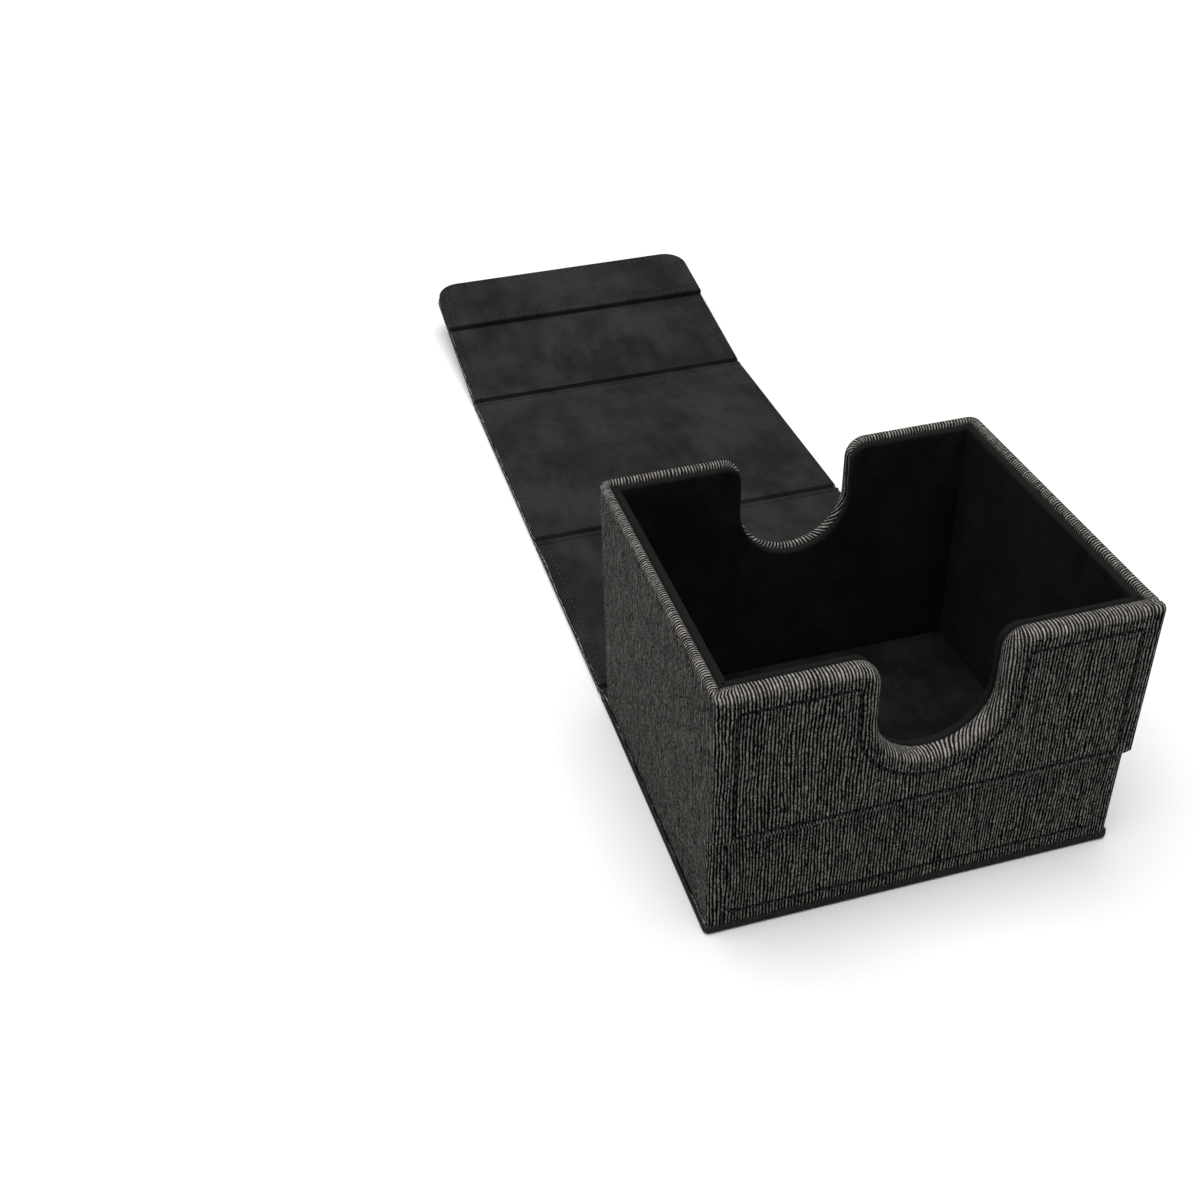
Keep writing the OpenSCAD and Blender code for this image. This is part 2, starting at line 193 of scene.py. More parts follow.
def ribbed_grain_group():
    """Close wavy ribs that break off and merge, as pressed into the leatherette."""
    tree, given, result = new_group("Ribbed grain", [
        ("Grain", VECTOR, None), ("Pitch", FLOAT, 1.0), ("Waviness", FLOAT, 1.0), ("Breaks", FLOAT, 0.5),
        ("Order", FLOAT, 0.0),
    ], [("Crest", FLOAT), ("Fibre", FLOAT), ("Height", FLOAT)])
    parts = wire(tree, "ShaderNodeSeparateXYZ", {0: given.outputs["Grain"]})
    across = parts.outputs[0]
    along = parts.outputs[1]
    shift = across
    loose = minus(tree, 1.0, times(tree, given.outputs["Order"], 0.45))
    for z, sx, sy, reach in ((0.0, 0.07, 0.03, 2.2), (3.0, 0.42, 0.12, 0.9), (7.0, 1.4, 0.7, 0.34)):
        drift = minus(tree, speckle(tree, across, along, z, sx, sy, 1.0), 0.5)
        drift = times(tree, drift, times(tree, given.outputs["Waviness"], reach))
        drift = times(tree, drift, loose) if sx > 0.1 else drift
        shift = plus(tree, shift, drift)
    cell = calc(tree, "DIVIDE", shift, given.outputs["Pitch"])
    line = calc(tree, "FLOOR", cell)
    middle = minus(tree, times(tree, calc(tree, "FRACT", cell), 2.0), 1.0)
    ridge = minus(tree, 1.0, calc(tree, "ABSOLUTE", middle))
    strand = speckle(tree, line, along, 11.0, 5.37, 0.42, 2.0, 0.6)
    nick = speckle(tree, line, along, 29.0, 3.71, 1.5, 1.0, 0.5)
    whole = times(tree, ramp(tree, strand, 0.3, 0.44), ramp(tree, nick, 0.33, 0.43))
    lost = times(tree, minus(tree, 1.0, whole), given.outputs["Breaks"])
    lost = times(tree, lost, loose)
    kept = minus(tree, 1.0, lost)
    width = speckle(tree, across, along, 17.0, 2.2, 0.9, 3.0, 0.65)
    stout = speckle(tree, line, along, 41.0, 7.13, 0.14, 1.0, 0.5)
    edge = plus(tree, ridge, times(tree, loose, minus(tree, width, 0.5)))
    edge = plus(tree, edge, times(tree, minus(tree, stout, 0.5), 0.7))
    crest = times(tree, ramp(tree, edge, 0.47, 0.74), kept)
    fibre = speckle(tree, across, along, 23.0, 4.2, 1.6, 3.0, 0.7)
    shine = speckle(tree, line, along, 53.0, 6.31, 0.5, 2.0, 0.6)
    fibre = plus(tree, times(tree, fibre, 0.55), times(tree, shine, 0.45))
    height = times(tree, ramp(tree, edge, 0.1, 0.85), kept)
    height = plus(tree, height, times(tree, fibre, 0.3))
    tree.links.new(crest, result.inputs["Crest"])
    tree.links.new(fibre, result.inputs["Fibre"])
    tree.links.new(height, result.inputs["Height"])
    return tree


def sewn_line_group():
    """Depth of the channel that a seam presses into a sheet, from the distance to the seam."""
    tree, given, result = new_group("Sewn channel", [
        ("Distance", FLOAT, far_away), ("Width", FLOAT, 0.5),
    ], [("Channel", FLOAT), ("Pucker", FLOAT)])
    off = calc(tree, "ABSOLUTE", given.outputs["Distance"])
    half = given.outputs["Width"]
    channel = ramp(tree, off, times(tree, half, 0.35), half, 1.0, 0.0)
    pucker = ramp(tree, off, half, times(tree, half, 3.5), 1.0, 0.0)
    tree.links.new(channel, result.inputs["Channel"])
    tree.links.new(pucker, result.inputs["Pucker"])
    return tree


def soft_nap_group():
    """Brushed nap: broad cloudy patches where it lies one way or the other, and fine fibres."""
    tree, given, result = new_group("Soft nap", [
        ("Grain", VECTOR, None), ("Cloud size", FLOAT, 0.05), ("Fibre size", FLOAT, 3.0),
    ], [("Cloud", FLOAT), ("Fibre", FLOAT), ("Height", FLOAT)])
    parts = wire(tree, "ShaderNodeSeparateXYZ", {0: given.outputs["Grain"]})
    across = parts.outputs[0]
    along = parts.outputs[1]
    size = given.outputs["Cloud size"]
    broad = speckle(tree, across, along, 1.5, size, size, 3.0, 0.55)
    swept = speckle(tree, across, along, 4.5, times(tree, size, 3.5),
                    times(tree, size, 1.6), 4.0, 0.6)
    cloud = plus(tree, times(tree, broad, 0.6), times(tree, swept, 0.4))
    cloud = ramp(tree, cloud, 0.36, 0.64)
    fine = given.outputs["Fibre size"]
    fibre = speckle(tree, across, along, 8.5, fine, times(tree, fine, 0.6), 4.0, 0.75)
    height = plus(tree, times(tree, cloud, 0.25), fibre)
    tree.links.new(cloud, result.inputs["Cloud"])
    tree.links.new(fibre, result.inputs["Fibre"])
    tree.links.new(height, result.inputs["Height"])
    return tree


ribbed_grain = ribbed_grain_group()
sewn_line = sewn_line_group()
soft_nap = soft_nap_group()


def new_material(name, **constants):
    material = bpy.data.materials.new(name)
    material.use_nodes = True
    tree = material.node_tree
    shader = tree.nodes["Principled BSDF"]
    for key, value in constants.items():
        shader.inputs[key.replace("_", " ")].default_value = value
    return material, tree, shader


def place_group(tree, group, **inputs):
    """Places a node group with its own values and returns its outputs."""
    made = tree.nodes.new("ShaderNodeGroup")
    made.node_tree = group
    for key, value in inputs.items():
        feed(tree, made.inputs[key.replace("_", " ")], value)
    return made.outputs


def carried(tree, name, kind="Fac"):
    """What the mesh carries at its points: its grain, its seams, its pressed mark."""
    return wire(tree, "ShaderNodeAttribute", attribute_name=name).outputs[kind]


def grey(value):
    return value, value, value, 1.0


def leatherette(name, gap, rib, rubbed, highlight_and_wear):
    """Black ribbed leatherette whose crests are rubbed with warm silver. The wear and highlight mask
    lightens crests and valleys: rubbed wear on the edges, and a painted highlight on the rim tops.
    """
    material, tree, shader = new_material(name, Specular_IOR_Level=0.04, Coat_Roughness=0.42, Coat_IOR=1.5)
    grain = carried(tree, "grain", "Vector")
    wear_and_highlight = wire(tree, "ShaderNodeSeparateXYZ", {0: grain}).outputs[2]
    ribs = place_group(tree, ribbed_grain, Grain=grain, Pitch=0.84, Waviness=1.0, Breaks=0.8, Order=wear_and_highlight)
    seam = place_group(tree, sewn_line, Distance=carried(tree, "seam"), Width=0.62)
    pressed = ramp(tree, carried(tree, "pressed"), -0.12, 0.12, 1.0, 0.0)
    plain = minus(tree, 1.0, pressed)
    crest = times(tree, ribs["Crest"], plain)
    worn = ramp(tree, ribs["Fibre"], 0.38, 0.62)
    # Painted highlight: where the mask is high, on the rim tops, the crests get more silver, a brighter
    # colour and lighter valleys. This stands in for top light as well as rubbed wear.
    worn = times(tree, worn, blend_value(tree, wear_and_highlight, 0.85, 1.0))
    silver = tint(tree, worn, rib, rubbed)
    silver = tint(tree, times(tree, wear_and_highlight, 0.3), silver, highlight_and_wear)
    valley = tint(tree, times(tree, wear_and_highlight, 0.16), gap, rib)
    colour = tint(tree, crest, valley, silver)
    # The pressed mask gives the card mark its smooth dark leather. On the base edge the same darkening is
    # painted shade.
    colour = tint(tree, times(tree, pressed, 0.9), colour, (0.018, 0.018, 0.0175, 1.0))
    # The seam channel is painted near black. This is partly the pressed leather's own black without silver
    # crests, and partly painted shade in the groove.
    colour = tint(tree, times(tree, seam["Channel"], 0.95), colour, grey(0.001))
    tree.links.new(colour, shader.inputs["Base Color"])
    dull = minus(tree, 1.0, times(tree, seam["Channel"], 0.95))
    gloss = plus(tree, times(tree, crest, 0.3), times(tree, pressed, 0.25))
    gloss = times(tree, gloss, dull)
    tree.links.new(gloss, shader.inputs["Coat Weight"])
    tree.links.new(blend_value(tree, crest, 0.85, 0.55), shader.inputs["Roughness"])
    height = times(tree, ribs["Height"], plain)
    height = minus(tree, height, times(tree, seam["Channel"], 1.6))
    height = plus(tree, height, times(tree, seam["Pucker"], 0.5))
    bump = wire(tree, "ShaderNodeBump", {"Height": height, "Strength": 0.85, "Distance": 0.00022})
    tree.links.new(bump.outputs[0], shader.inputs["Normal"])
    return material


def microsuede(name, dark, light, sheen, lit_rim_colour, cloud_size=0.035):
    """Black microsuede with a soft clouded nap. Where the mesh carries the highlight mask, on the liner's
    rim, it is painted lighter as a highlight.
    """
    sewn = 0.3
    material, tree, shader = new_material(name, Specular_IOR_Level=0.12, Sheen_Weight=sheen,
                                          Sheen_Roughness=0.45)
    shader.inputs["Sheen Tint"].default_value = (0.8, 0.8, 0.82, 1.0)
    grain = carried(tree, "grain", "Vector")
    wear_and_highlight = wire(tree, "ShaderNodeSeparateXYZ", {0: grain}).outputs[2]
    nap = place_group(tree, soft_nap, Grain=grain, Cloud_size=cloud_size, Fibre_size=2.6)
    seam = place_group(tree, sewn_line, Distance=carried(tree, "seam"), Width=0.5)
    mixed = plus(tree, times(tree, nap["Cloud"], 0.6),
                   times(tree, minus(tree, nap["Fibre"], 0.25), 0.85))
    colour = tint(tree, mixed, dark, light)
    # Painted highlight: the rim band is tinted towards the lighter rim colour.
    colour = tint(tree, wear_and_highlight, colour, lit_rim_colour)
    colour = tint(tree, times(tree, seam["Channel"], sewn), colour, grey(0.003))
    tree.links.new(colour, shader.inputs["Base Color"])
    tree.links.new(blend_value(tree, nap["Cloud"], 0.98, 0.86), shader.inputs["Roughness"])
    height = minus(tree, nap["Height"], times(tree, seam["Channel"], sewn * 2))
    bump = wire(tree, "ShaderNodeBump", {"Height": height, "Strength": 0.5, "Distance": 0.0002})
    tree.links.new(bump.outputs[0], shader.inputs["Normal"])
    return material


def greyboard():
    """Pressed recycled card with darker flecks."""
    material, tree, shader = new_material("Greyboard", Specular_IOR_Level=0.2)
    at = wire(tree, "ShaderNodeTexCoord").outputs["Object"]
    fleck = wire(tree, "ShaderNodeTexNoise", {"Vector": at, "Scale": 900.0, "Detail": 4.0}).outputs["Fac"]
    cloud = wire(tree, "ShaderNodeTexNoise", {"Vector": at, "Scale": 60.0, "Detail": 2.0}).outputs["Fac"]
    colour = tint(tree, ramp(tree, fleck, 0.35, 0.65), (0.13, 0.12, 0.1, 1.0), (0.24, 0.225, 0.19, 1.0))
    colour = tint(tree, times(tree, cloud, 0.3), colour, (0.1, 0.095, 0.08, 1.0))
    tree.links.new(colour, shader.inputs["Base Color"])
    tree.links.new(ramp(tree, fleck, 0.2, 0.8, 0.8, 0.95), shader.inputs["Roughness"])
    bump = wire(tree, "ShaderNodeBump", {"Height": fleck, "Strength": 0.4, "Distance": 0.0001})
    tree.links.new(bump.outputs[0], shader.inputs["Normal"])
    return material


def nickel():
    """Nickel plate with faint handling marks."""
    material, tree, shader = new_material("Nickel plate", Metallic=1.0)
    at = wire(tree, "ShaderNodeTexCoord").outputs["Object"]
    smear = wire(tree, "ShaderNodeTexNoise", {"Vector": at, "Scale": 220.0, "Detail": 5.0}).outputs["Fac"]
    colour = tint(tree, smear, (0.52, 0.5, 0.46, 1.0), (0.7, 0.69, 0.66, 1.0))
    tree.links.new(colour, shader.inputs["Base Color"])
    tree.links.new(ramp(tree, smear, 0.3, 0.7, 0.2, 0.38), shader.inputs["Roughness"])
    return material


def sewing_thread(name, dark, light):
    """Twisted polyester thread. Its lighter colour along the twist is a painted highlight on the plies."""
    material, tree, shader = new_material(name, Specular_IOR_Level=0.3, Sheen_Weight=0.15)
    grain = carried(tree, "grain", "Vector")
    parts = wire(tree, "ShaderNodeSeparateXYZ", {0: grain})
    slant = plus(tree, times(tree, parts.outputs[0], 1.4), parts.outputs[1])
    twist = calc(tree, "PINGPONG", times(tree, slant, 5.0), 0.5)
    twist = times(tree, twist, 2.0)
    # Painted highlight: the twist ridges are tinted towards the light colour.
    tree.links.new(tint(tree, twist, dark, light), shader.inputs["Base Color"])
    tree.links.new(ramp(tree, twist, 0.0, 1.0, 0.75, 0.55), shader.inputs["Roughness"])
    bump = wire(tree, "ShaderNodeBump", {"Height": twist, "Strength": 0.6, "Distance": 0.00006})
    tree.links.new(bump.outputs[0], shader.inputs["Normal"])
    return material


leather = leatherette("Ribbed leatherette", (0.0008, 0.0008, 0.0007, 1.0), (0.07, 0.066, 0.059, 1.0),
                      (0.34, 0.322, 0.292, 1.0), (0.5, 0.475, 0.43, 1.0))
lining = microsuede("Lining microsuede", (0.006, 0.006, 0.0062, 1.0), (0.031, 0.031, 0.032, 1.0), 0.05,
                    grey(0.05))
# Painted shade: the liner is the same microsuede as the lining, made much darker for the shade inside the
# box. Its rim colour is a painted highlight.
liner_suede = microsuede("Liner microsuede", grey(0.0007), (0.0115, 0.0115, 0.0116, 1.0), 0.02,
                         (0.0085, 0.0085, 0.009, 1.0), 0.06)
board = greyboard()
plate = nickel()
black_thread = sewing_thread("Black thread", grey(0.0015), grey(0.007))
lining_thread = sewing_thread("Lining thread", grey(0.006), (0.05, 0.05, 0.048, 1.0))

# ---- Mesh helpers ----


def patch(at, grain, seam=None, wear_and_highlight=None, pressed=None):
    """A grid of points with what each carries: place across and along the sheet, seam, and rubbed wear
    together with painted highlight.
    """
    at = np.asarray(at, float)
    rows, columns = at.shape[:2]
    if seam is None:
        seam = np.full((rows, columns), far_away)
    if wear_and_highlight is None:
        wear_and_highlight = np.zeros((rows, columns))
    if pressed is None:
        pressed = np.full((rows, columns), far_away)
    grain = np.dstack([np.asarray(grain, float), np.broadcast_to(wear_and_highlight, (rows, columns))])
    return at, grain, np.broadcast_to(seam, (rows, columns)), np.broadcast_to(pressed, (rows, columns))


def make_piece(name, patches, material, weld=0.004, sharp=50):
    """Joins patches into one smooth mesh object."""
    points, grains, seams, pressed_mark_and_shade_values, faces = [], [], [], [], []
    start = 0
    for at, grain, seam, pressed in patches:
        rows, columns = at.shape[:2]
        points.append(at.reshape(-1, 3))
        grains.append(grain.reshape(-1, 3))
        seams.append(np.ravel(seam))
        pressed_mark_and_shade_values.append(np.ravel(pressed))
        index = start + np.arange(rows * columns).reshape(rows, columns)
        quads = np.stack([index[:-1, :-1], index[:-1, 1:], index[1:, 1:], index[1:, :-1]], axis=-1)
        faces.extend(quads.reshape(-1, 4).tolist())
        start += rows * columns
    mesh = bpy.data.meshes.new(name)
    mesh.from_pydata((np.vstack(points) * MM).tolist(), [], faces)
    carry = mesh.attributes.new("grain", "FLOAT_VECTOR", "POINT")
    carry.data.foreach_set("vector", np.vstack(grains).ravel().astype(np.float32))
    for label, values in (("seam", seams), ("pressed", pressed_mark_and_shade_values)):
        carry = mesh.attributes.new(label, "FLOAT", "POINT")
        carry.data.foreach_set("value", np.concatenate(values).astype(np.float32))
    work = bmesh.new()
    work.from_mesh(mesh)
    bmesh.ops.remove_doubles(work, verts=work.verts, dist=weld * MM)
    bmesh.ops.dissolve_degenerate(work, edges=work.edges, dist=0.001 * MM)
    bmesh.ops.recalc_face_normals(work, faces=work.faces)
    for face in work.faces:
        face.smooth = True
    for edge in work.edges:
        if len(edge.link_faces) == 2:
            edge.smooth = edge.calc_face_angle(0) < math.radians(sharp)
    work.to_mesh(mesh)
    work.free()
    mesh.materials.append(material)
    made = bpy.data.objects.new(name, mesh)
    bpy.context.scene.collection.objects.link(made)
    return made


def arc(centre, radius, first, last, steps):
    """Points of an arc in a plane, angles in degrees."""
    angles = np.radians(np.linspace(first, last, steps + 1))
    return np.column_stack([centre[0] + radius * np.cos(angles), centre[1] + radius * np.sin(angles)])


def eased(share):
    """Smooth step from 0 to 1."""
    share = min(1.0, max(0.0, share))
    return share * share * (3 - 2 * share)


def spread(first, last, step):
    """Even values from first to last, no further apart than step."""
    return np.linspace(first, last, max(2, int(math.ceil(abs(last - first) / step)) + 1))


def walked(points):
    """Distance walked along a line of points."""
    steps = np.linalg.norm(np.diff(points, axis=0), axis=1)
    return np.concatenate([[0.0], np.cumsum(steps)])


# ---- Walls: a flat face whose upper edge rolls over a rim ----


def rim_line(half, top, radius, bottom_z, shoulder, step=1.2):
    """Rim seen from the front, left to right, with a finger notch: x, z and the way out of the wall."""
    centre_z = bottom_z + radius
    out = []
    for x in spread(-half, -(radius + shoulder), 2.5)[:-1]:
        out.append((x, top, 0.0, 1.0))
    for angle in np.radians(np.linspace(90, 0, 9)):
        c, s = math.cos(angle), math.sin(angle)
        out.append((-(radius + shoulder) + shoulder * c, top - shoulder + shoulder * s, c, s))
    for z in spread(top - shoulder, centre_z, step)[1:-1]:
        out.append((-radius, z, 1.0, 0.0))
    for angle in np.radians(np.linspace(180, 270, 15)):
        c, s = math.cos(angle), math.sin(angle)
        out.append((radius * c, centre_z + radius * s, -c, -s))
    left = np.array(out)
    right = left[-2::-1] * np.array([-1.0, 1.0, -1.0, 1.0])
    return np.vstack([left, right])


def plain_line(first, last, top, step=2.5):
    xs = spread(first, last, step)
    return np.column_stack([xs, np.full(len(xs), top), np.zeros(len(xs)), np.ones(len(xs))])


def roll_profile(depth, face_r, back_r, tuck):
    """Section over a rim, from the face to the back: offset outward (negative is inward) and height."""
    front = arc((-face_r, -face_r), face_r, 0, 90, 7)
    crown = np.array([[-depth / 2, 0.12]]) if depth - face_r - back_r > 0.6 else np.zeros((0, 2))
    back = arc((-(depth - back_r), -back_r), back_r, 90, 180, 6)
    down = np.array([[-depth, -tuck]])
    return np.vstack([front, crown, back, down])


def dressed_wall(line, foot, place, depth, face_r, back_r, tuck, foot_r=0.6, rows=14, seam_of=None,
                 shift=None, radii=None, rim_wear_and_highlight=1.0, foot_rub=0.3, fade=50.0, under_to=0.0):
    """Flat face and rolled rim as one grid. place(across, height, outward) gives points. shift and
    radii are given for each point of line; the foot runs in underneath as far as under_to."""
    count = len(line)
    length = walked(line[:, :2])
    foot_x = line[0, 0] + (line[-1, 0] - line[0, 0]) * length / length[-1]
    at, grain, wear_and_highlight, seams = [], [], [], []
    for k in range(count):
        x, z, nx, nz = line[k]
        r = face_r if radii is None else radii[k]
        section = roll_profile(depth, r, min(back_r, depth - r - 0.05), tuck)
        if shift is not None:
            section = section + np.array([0.0, shift[k]])
        start = np.array([x, z]) + section[0, 1] * np.array([nx, nz])
        share = np.linspace(0, 1, rows + 1)[:, None]
        low = np.array([foot_x[k], foot + foot_r])
        face = low + (start - low) * share
        under = arc((-foot_r, 0), foot_r, -90, 0, 4)[:-1]
        if under_to > foot_r:
            under = np.vstack([[[-under_to, -foot_r]], under])
        tail = np.column_stack([np.full(len(under), foot_x[k]), foot + foot_r + under[:, 1]])
        rolled = np.array([x, z]) + section[1:, 1:2] * np.array([nx, nz])
        developed = walked(section)[1:, None]
        unrolled = start + developed * np.array([nx, nz])
        flat = np.vstack([tail, face, rolled])
        outward = np.concatenate([under[:, 0], np.zeros(rows + 1), section[1:, 0]])
        at.append([place(p[0], p[1], o) for p, o in zip(flat, outward)])
        laid = tail.copy()
        if under_to > foot_r:
            laid[0, 1] -= under_to - foot_r
        sheet = np.vstack([laid, face, unrolled])
        grain.append(sheet)
        # The rim's crown gets the wear and highlight mask, which the shaders paint lighter. It is a painted
        # highlight where top light falls, with some rubbed wear.
        crown = rim_wear_and_highlight * np.clip(1 + section[1:, 1] / fade, 0, 1)
        wear_and_highlight.append(np.concatenate([np.full(len(under), foot_rub), np.zeros(rows + 1), crown]))
        seams.append(seam_of(sheet) if seam_of else np.full(len(sheet), far_away))
    return patch(at, grain, np.array(seams), np.array(wear_and_highlight))


side_run = 2 * half_d - corner_r - back_corner_r
back_run = 2 * (half_w - back_corner_r)
front_run = 2 * (half_w - corner_r)
turn_run = corner_r * math.pi / 2
back_turn = back_corner_r * math.pi / 2
behind_overlay = 2.2


def around_box(s, z, outward):
    """Point at distance s round the box, clockwise from above, starting at the left wall's front end."""
    runs = [
        (side_run, (-half_w, -half_d + corner_r), (0, 1), (-1, 0), (-1, 1), corner_r, back_corner_r),
        (back_run, (-half_w + back_corner_r, half_d), (1, 0), (0, 1), (1, 1), back_corner_r, back_corner_r),
        (side_run, (half_w, half_d - back_corner_r), (0, -1), (1, 0), (1, -1), back_corner_r, corner_r),
        (front_run, (half_w - corner_r, -half_d), (-1, 0), (0, -1), (-1, -1), corner_r, corner_r),
    ]
    whole = 2 * side_run + back_run + front_run + 2 * turn_run + 2 * back_turn
    s = s % whole if s < -1e-9 or s > whole else s
    for run, start, way, out, corner, r0, r in runs:
        before = max(0.0, -outward - r0)
        inside = max(0.0, -outward - r)
        if s <= run + 1e-9:
            s = min(max(s, before), run - inside)
            return (start[0] + way[0] * s + out[0] * outward, start[1] + way[1] * s + out[1] * outward, z)
        s -= run
        if s <= r * math.pi / 2 + 1e-9:
            cx = corner[0] * (half_w - r)
            cy = corner[1] * (half_d - r)
            if inside > 0:
                return (cx - corner[0] * inside, cy - corner[1] * inside, z)
            angle = s / r
            c, n = math.cos(angle), math.sin(angle)
            dx = out[0] * c + way[0] * n
            dy = out[1] * c + way[1] * n
            return (cx + dx * (r + outward), cy + dy * (r + outward), z)
        s -= r * math.pi / 2
    return around_box(0.0, z, outward)


def corner_line(first, top, run):
    return plain_line(first, first + run, top, run / 8)


def box_walls():
    """Left, back and right walls with the rims, running a little way behind the front overlay."""
    tucked = behind_overlay
    parts = [plain_line(-turn_run - tucked, -turn_run, rim_z, 0.8)[:-1],
             corner_line(-turn_run, rim_z, turn_run)[:-1]]
    s = 0.0
    parts.append(plain_line(s, s + side_run, rim_z)[:-1])
    s += side_run
    parts.append(corner_line(s, rim_z, back_turn)[:-1])
    s += back_turn
    back = rim_line(half_w - back_corner_r, rim_z, notch_r, rim_z - notch_depth, shoulder_r)
    back = back + np.array([s + half_w - back_corner_r, 0, 0, 0])
    parts.append(back[:-1])
    s += back_run
    parts.append(corner_line(s, rim_z, back_turn)[:-1])
    s += back_turn
    parts.append(plain_line(s, s + side_run, rim_z)[:-1])
    s += side_run
    parts.append(corner_line(s, rim_z, turn_run)[:-1])
    parts.append(plain_line(s + turn_run, s + turn_run + tucked, rim_z, 0.8))
    line = np.vstack(parts)
    end = s + turn_run
    radii, shift = [], []
    for x in line[:, 0]:
        near = min(abs(x + turn_run / 2), abs(x - s - turn_run / 2))
        radii.append(rim_corner_r + (rim_r - rim_corner_r) * eased((near - 1.6) / 4.0))
        beyond = max(-0.4 * turn_run - x, x - (end - 0.6 * turn_run), 0.0)
        shift.append(-0.5 * min(1.0, beyond / 2.6) ** 1.5)
    return line, radii, shift


def walls_patch():
    line, radii, shift = box_walls()
    # Each wall gets its own feet, so that the columns stay upright away from the notch
    cuts = [0.0, side_run + back_turn, side_run + back_turn + back_run]
    groups = [line[line[:, 0] <= cuts[1] + 1e-6], None, line[line[:, 0] >= cuts[2] - 1e-6]]
    groups[1] = line[(line[:, 0] >= cuts[1] - 1e-6) & (line[:, 0] <= cuts[2] + 1e-6)]
    radii = np.array(radii)
    shift = np.array(shift)
    made = []
    for group in groups:
        keys = [int(np.where((line == row).all(axis=1))[0][0]) for row in group]
        made.append(dressed_wall(group, wall_foot, around_box, wall_t, rim_r, 1.25, 4.0,
                                 shift=shift[keys], radii=radii[keys], rows=16))
    return made


front_start = 2 * side_run + back_run + 2 * back_turn + turn_run
lower_seam_mid = front_start + half_w - corner_r
lower_seam_half = half_w - 5.2
lower_seam_foot = wall_foot + 4.2
upright_seam_rise = 0.38


def lower_seam(sheet):
    """Distance from the line; its two upright runs are sewn less deep."""
    side = np.abs(sheet[:, 0] - lower_seam_mid) - lower_seam_half
    low = lower_seam_foot - sheet[:, 1]
    return np.abs(np.maximum(side, low)) + np.where(side > low, upright_seam_rise, 0.0)


def lower_front_patch():
    """Front wall below the overlay."""
    left, right = lower_seam_mid - lower_seam_half, lower_seam_mid + lower_seam_half
    xs = np.concatenate([spread(front_start + behind_overlay, left, 2.0), spread(left, right, 2.0)[1:],
                         spread(right, front_start + front_run - behind_overlay, 2.0)[1:]])
    zs = np.concatenate([[wall_foot, wall_foot + 0.18, wall_foot + 0.6],
                         spread(wall_foot + 1.4, lower_seam_foot, 1.5),
                         spread(lower_seam_foot, overlay_foot + 3, 1.5)[1:]])
    foot_sink = np.concatenate([[-0.55, -0.2], np.zeros(len(zs) - 2)])
    at = [[around_box(x, z, o) for z, o in zip(zs, foot_sink)] for x in xs]
    sheet = np.array([[(x, z) for z in zs] for x in xs])
    seams = np.array([lower_seam(row) for row in sheet])
    return patch(at, sheet, seams)


box_leather = make_piece("box_leather", walls_patch() + [lower_front_patch()], leather)
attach(box_leather, "box")
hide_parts("outer_wrap")

# ---- Front overlay ----

overlay_front = half_d + overlay_t
overlay_depth = overlay_t + wall_t
overlay_side_r = 1.3
overlay_seam_side = half_w - 5
overlay_seam_low = overlay_foot + 2
overlay_seam_top = rim_z - 5
overlay_seam_r = 1.2
overlay_notch_seam = notch_r + 5
overlay_soft = 3.3
overlay_pull_start = 47
notch_z = rim_z - notch_depth + notch_r


def round_meet(a, b, r):
    """Distance to the meeting of two areas whose outer corner is rounded by r."""
    both = -r + np.hypot(np.maximum(a + r, 0), np.maximum(b + r, 0))
    return np.where((a > -r) & (b > -r), both, np.maximum(a, b))


def overlay_seam(sheet):
    x, z = sheet[:, 0], sheet[:, 1]
    side = np.abs(x) - overlay_seam_side
    low = overlay_seam_low - z
    high = z - overlay_seam_top
    notch = np.where(z > notch_z, np.abs(x), np.hypot(x, z - notch_z)) - overlay_notch_seam
    frame_area = np.maximum(np.maximum(side, low), high)
    return round_meet(frame_area, -notch, overlay_seam_r)


